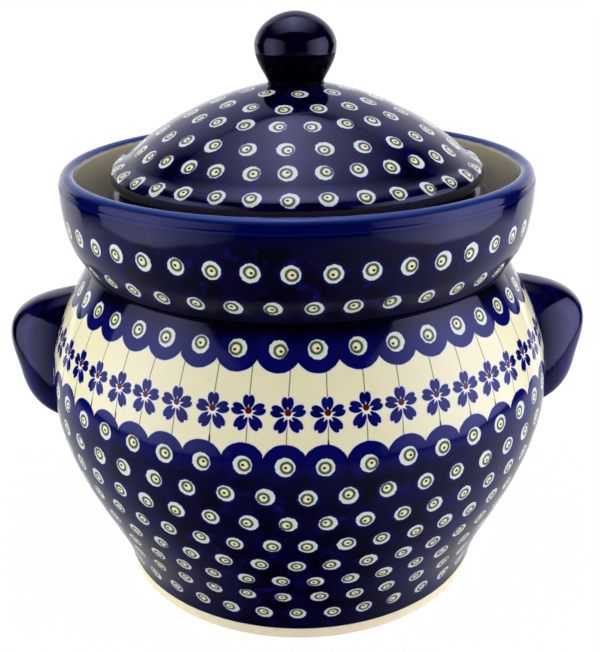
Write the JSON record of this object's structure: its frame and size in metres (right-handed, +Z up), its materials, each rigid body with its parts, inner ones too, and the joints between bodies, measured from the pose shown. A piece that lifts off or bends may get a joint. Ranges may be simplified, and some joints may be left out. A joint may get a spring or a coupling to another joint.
{
  "type": "fermentation crock",
  "caption": "Round-bellied glazed stoneware fermenting crock with ear handles, a water gutter round its neck, a knobbed cap lid that stands in it, and half-moon weights.",
  "frame": {"origin": "centre of the foot ring, on the surface that the crock stands on", "axes": "+Z up along the axis of the pot; the ear handles stand out along -X and +X; the pictured front faces -Y"},
  "size_m": [0.3026, 0.2586, 0.2859],
  "materials": {
    "patterned_glaze": "glossy clear glaze over stamped cobalt decoration on cream stoneware",
    "cobalt_glaze": "glossy dark cobalt glaze",
    "bare_stoneware": "unglazed fired stoneware"
  },
  "bodies": {
    "crock": {"crock_body": "patterned_glaze", "water_collar": "patterned_glaze", "handle_right": "cobalt_glaze", "handle_left": "cobalt_glaze"},
    "lid": {"lid_cap": "patterned_glaze", "lid_knob": "cobalt_glaze"},
    "weight_right": {"weight_right": "bare_stoneware"},
    "weight_left": {"weight_left": "bare_stoneware"}
  },
  "joints": [
    {"name": "lid_lift", "type": "slide", "parent": "crock", "child": "lid", "axis": [0, 0, 1], "range_m": [0, 0.15]},
    {"name": "weight_right_lift", "type": "slide", "parent": "crock", "child": "weight_right", "axis": [0, 0, 1], "range_m": [0, 0.125]},
    {"name": "weight_left_lift", "type": "slide", "parent": "crock", "child": "weight_left", "axis": [0, 0, 1], "range_m": [0, 0.125]}
  ]
}
